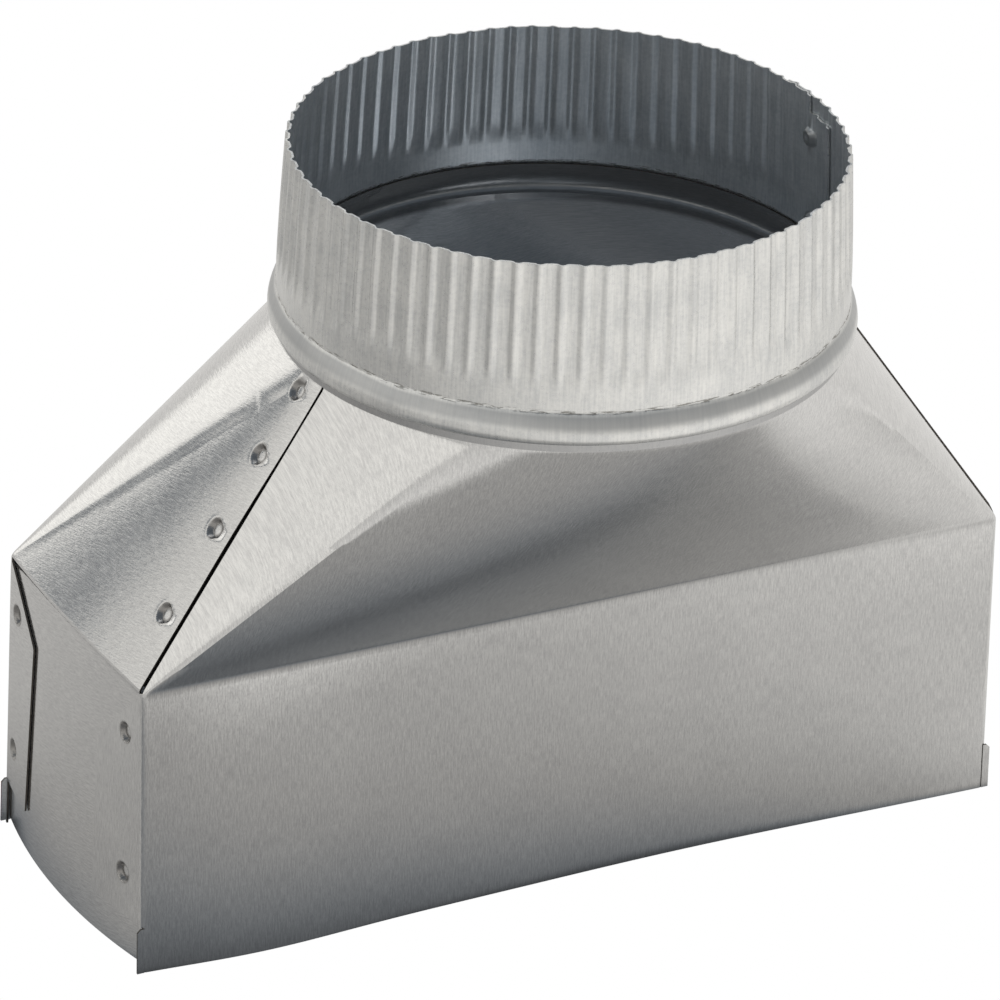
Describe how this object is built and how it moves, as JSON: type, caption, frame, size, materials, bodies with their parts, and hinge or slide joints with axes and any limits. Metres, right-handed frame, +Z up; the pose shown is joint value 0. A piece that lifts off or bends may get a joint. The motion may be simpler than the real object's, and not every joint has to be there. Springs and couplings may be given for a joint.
{
  "type": "duct transition",
  "caption": "Sheet-metal duct boot that leads a flat rectangular mouth up sloping walls into a short round collar with a bead and a crimped end, set forward of the box.",
  "frame": {"origin": "middle of the rectangular mouth, in the plane of its edge, where the fitting meets the duct that it stands on", "axes": "+Z up through the fitting along the round collar's axis, X along the wide faces of the mouth, Y across its short ends with the slanted front face at -Y"},
  "size_m": [0.2692, 0.158, 0.2182],
  "materials": {
    "front_panel": "galvanized, semi-matt",
    "back_wrap": "galvanized, semi-matt",
    "collar": "galvanized, semi-matt"
  },
  "bodies": {
    "root": {"front_panel": "front_panel", "back_wrap": "back_wrap", "collar": "collar"}
  },
  "joints": []
}
